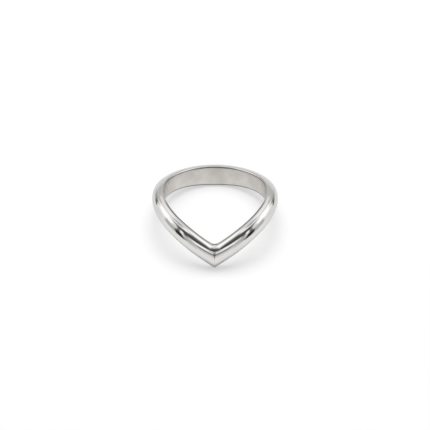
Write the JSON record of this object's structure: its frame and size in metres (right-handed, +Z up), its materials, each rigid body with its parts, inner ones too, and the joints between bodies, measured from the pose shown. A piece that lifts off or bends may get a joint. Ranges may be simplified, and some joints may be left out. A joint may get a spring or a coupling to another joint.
{
  "type": "chevron ring",
  "caption": "Polished finger ring: one closed band with a domed outside, bent at the front to a pointed V.",
  "frame": {"origin": "centre of the bottom of the bounding box, on the surface the ring lies on", "axes": "+X across the ring from arm to arm, +Y from the point of the V to the back of the band, +Z up from the surface; the finger hole leans 20 degrees towards +Y"},
  "size_m": [0.0212, 0.0224, 0.0069],
  "materials": {
    "silver": "bright polished silver outside, softer satin polish inside the finger hole"
  },
  "bodies": {
    "root": {"ring_band": "silver"}
  },
  "joints": []
}
